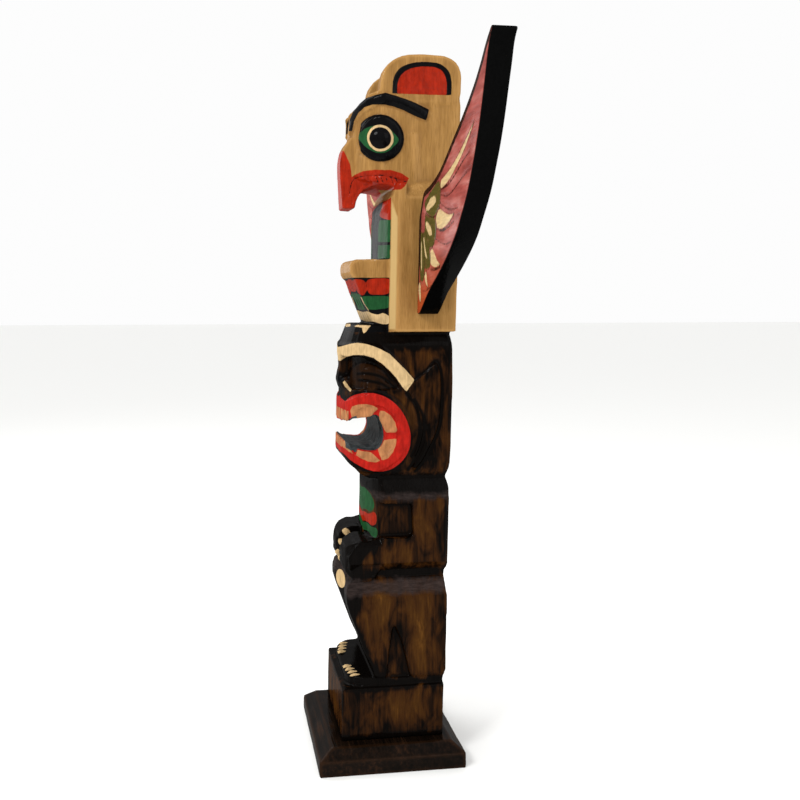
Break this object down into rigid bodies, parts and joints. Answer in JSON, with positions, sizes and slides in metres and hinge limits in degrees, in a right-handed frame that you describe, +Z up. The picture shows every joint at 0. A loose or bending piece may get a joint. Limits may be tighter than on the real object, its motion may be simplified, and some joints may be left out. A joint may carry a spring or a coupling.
{
  "type": "totem pole",
  "caption": "Carved and painted wooden totem pole: a winged bird above a crouching figure, on a bevelled board.",
  "frame": {"origin": "on the floor, under the middle of the base board", "axes": "+Z up along the pole, -Y to the front where the faces look, +X to the figure's left"},
  "size_m": [0.477, 0.1048, 0.5],
  "materials": {
    "board": "dark brown stain under gloss varnish",
    "burned_wood": "flame-darkened wood under gloss varnish, with painted carving and a pale varnished bird",
    "wing_paint": "painted feathers under gloss varnish, black edges"
  },
  "bodies": {
    "root": {"base_board": "board", "pole": "burned_wood", "wing_left": "wing_paint", "wing_right": "wing_paint"}
  },
  "joints": []
}
